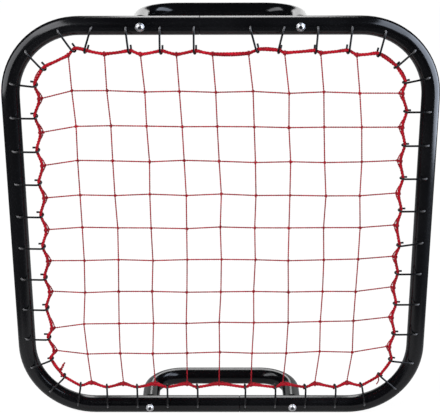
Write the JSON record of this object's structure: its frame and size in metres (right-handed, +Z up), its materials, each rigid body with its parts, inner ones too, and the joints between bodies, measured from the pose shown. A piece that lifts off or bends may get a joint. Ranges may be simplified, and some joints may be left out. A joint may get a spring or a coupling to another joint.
{
  "type": "ball rebounder",
  "caption": "Square steel tube frame with a knotted red net hooked into it all round, and a U-shaped tube handle behind its top tube and its bottom tube.",
  "frame": {"origin": "on the floor, under the middle of the whole object's box", "axes": "+Z up, -Y towards the side the ball comes from, +X to that side's right as the picture shows it"},
  "size_m": [0.6, 0.1203, 0.6],
  "materials": {
    "frame_coat": "glossy black powder coat on steel tube",
    "hook_coat": "satin black coat on steel wire",
    "zinc": "bright zinc plate",
    "plug_steel": "plain turned steel",
    "rope": "twisted red rope",
    "twine": "twisted red twine"
  },
  "bodies": {
    "root": {"frame_half_right": "frame_coat", "frame_half_left": "frame_coat", "handle_upper": "frame_coat", "handle_lower": "frame_coat", "handle_screw_upper_left": "zinc", "handle_screw_upper_right": "zinc", "handle_screw_lower_left": "zinc", "handle_screw_lower_right": "zinc", "leg_plug_upper_left": "plug_steel", "leg_plug_upper_right": "plug_steel", "leg_plug_lower_left": "plug_steel", "leg_plug_lower_right": "plug_steel", "net_hook_01": "hook_coat", "net_hook_02": "hook_coat", "net_hook_03": "hook_coat", "net_hook_04": "hook_coat", "net_hook_05": "hook_coat", "net_hook_06": "hook_coat", "net_hook_07": "hook_coat", "net_hook_08": "hook_coat", "net_hook_09": "hook_coat", "net_hook_10": "hook_coat", "net_hook_11": "hook_coat", "net_hook_12": "hook_coat", "net_hook_13": "hook_coat", "net_hook_14": "hook_coat", "net_hook_15": "hook_coat", "net_hook_16": "hook_coat", "net_hook_17": "hook_coat", "net_hook_18": "hook_coat", "net_hook_19": "hook_coat", "net_hook_20": "hook_coat", "net_hook_21": "hook_coat", "net_hook_22": "hook_coat", "net_hook_23": "hook_coat", "net_hook_24": "hook_coat", "net_hook_25": "hook_coat", "net_hook_26": "hook_coat", "net_hook_27": "hook_coat", "net_hook_28": "hook_coat", "net_hook_29": "hook_coat", "net_hook_30": "hook_coat", "net_hook_31": "hook_coat", "net_hook_32": "hook_coat", "net_hook_33": "hook_coat", "net_hook_34": "hook_coat", "net_hook_35": "hook_coat", "net_hook_36": "hook_coat", "net_hook_37": "hook_coat", "net_hook_38": "hook_coat", "net_hook_39": "hook_coat", "net_hook_40": "hook_coat", "net_hook_41": "hook_coat", "net_hook_42": "hook_coat", "net_hook_43": "hook_coat", "net_hook_44": "hook_coat", "border_rope": "rope", "net": "twine"}
  },
  "joints": []
}
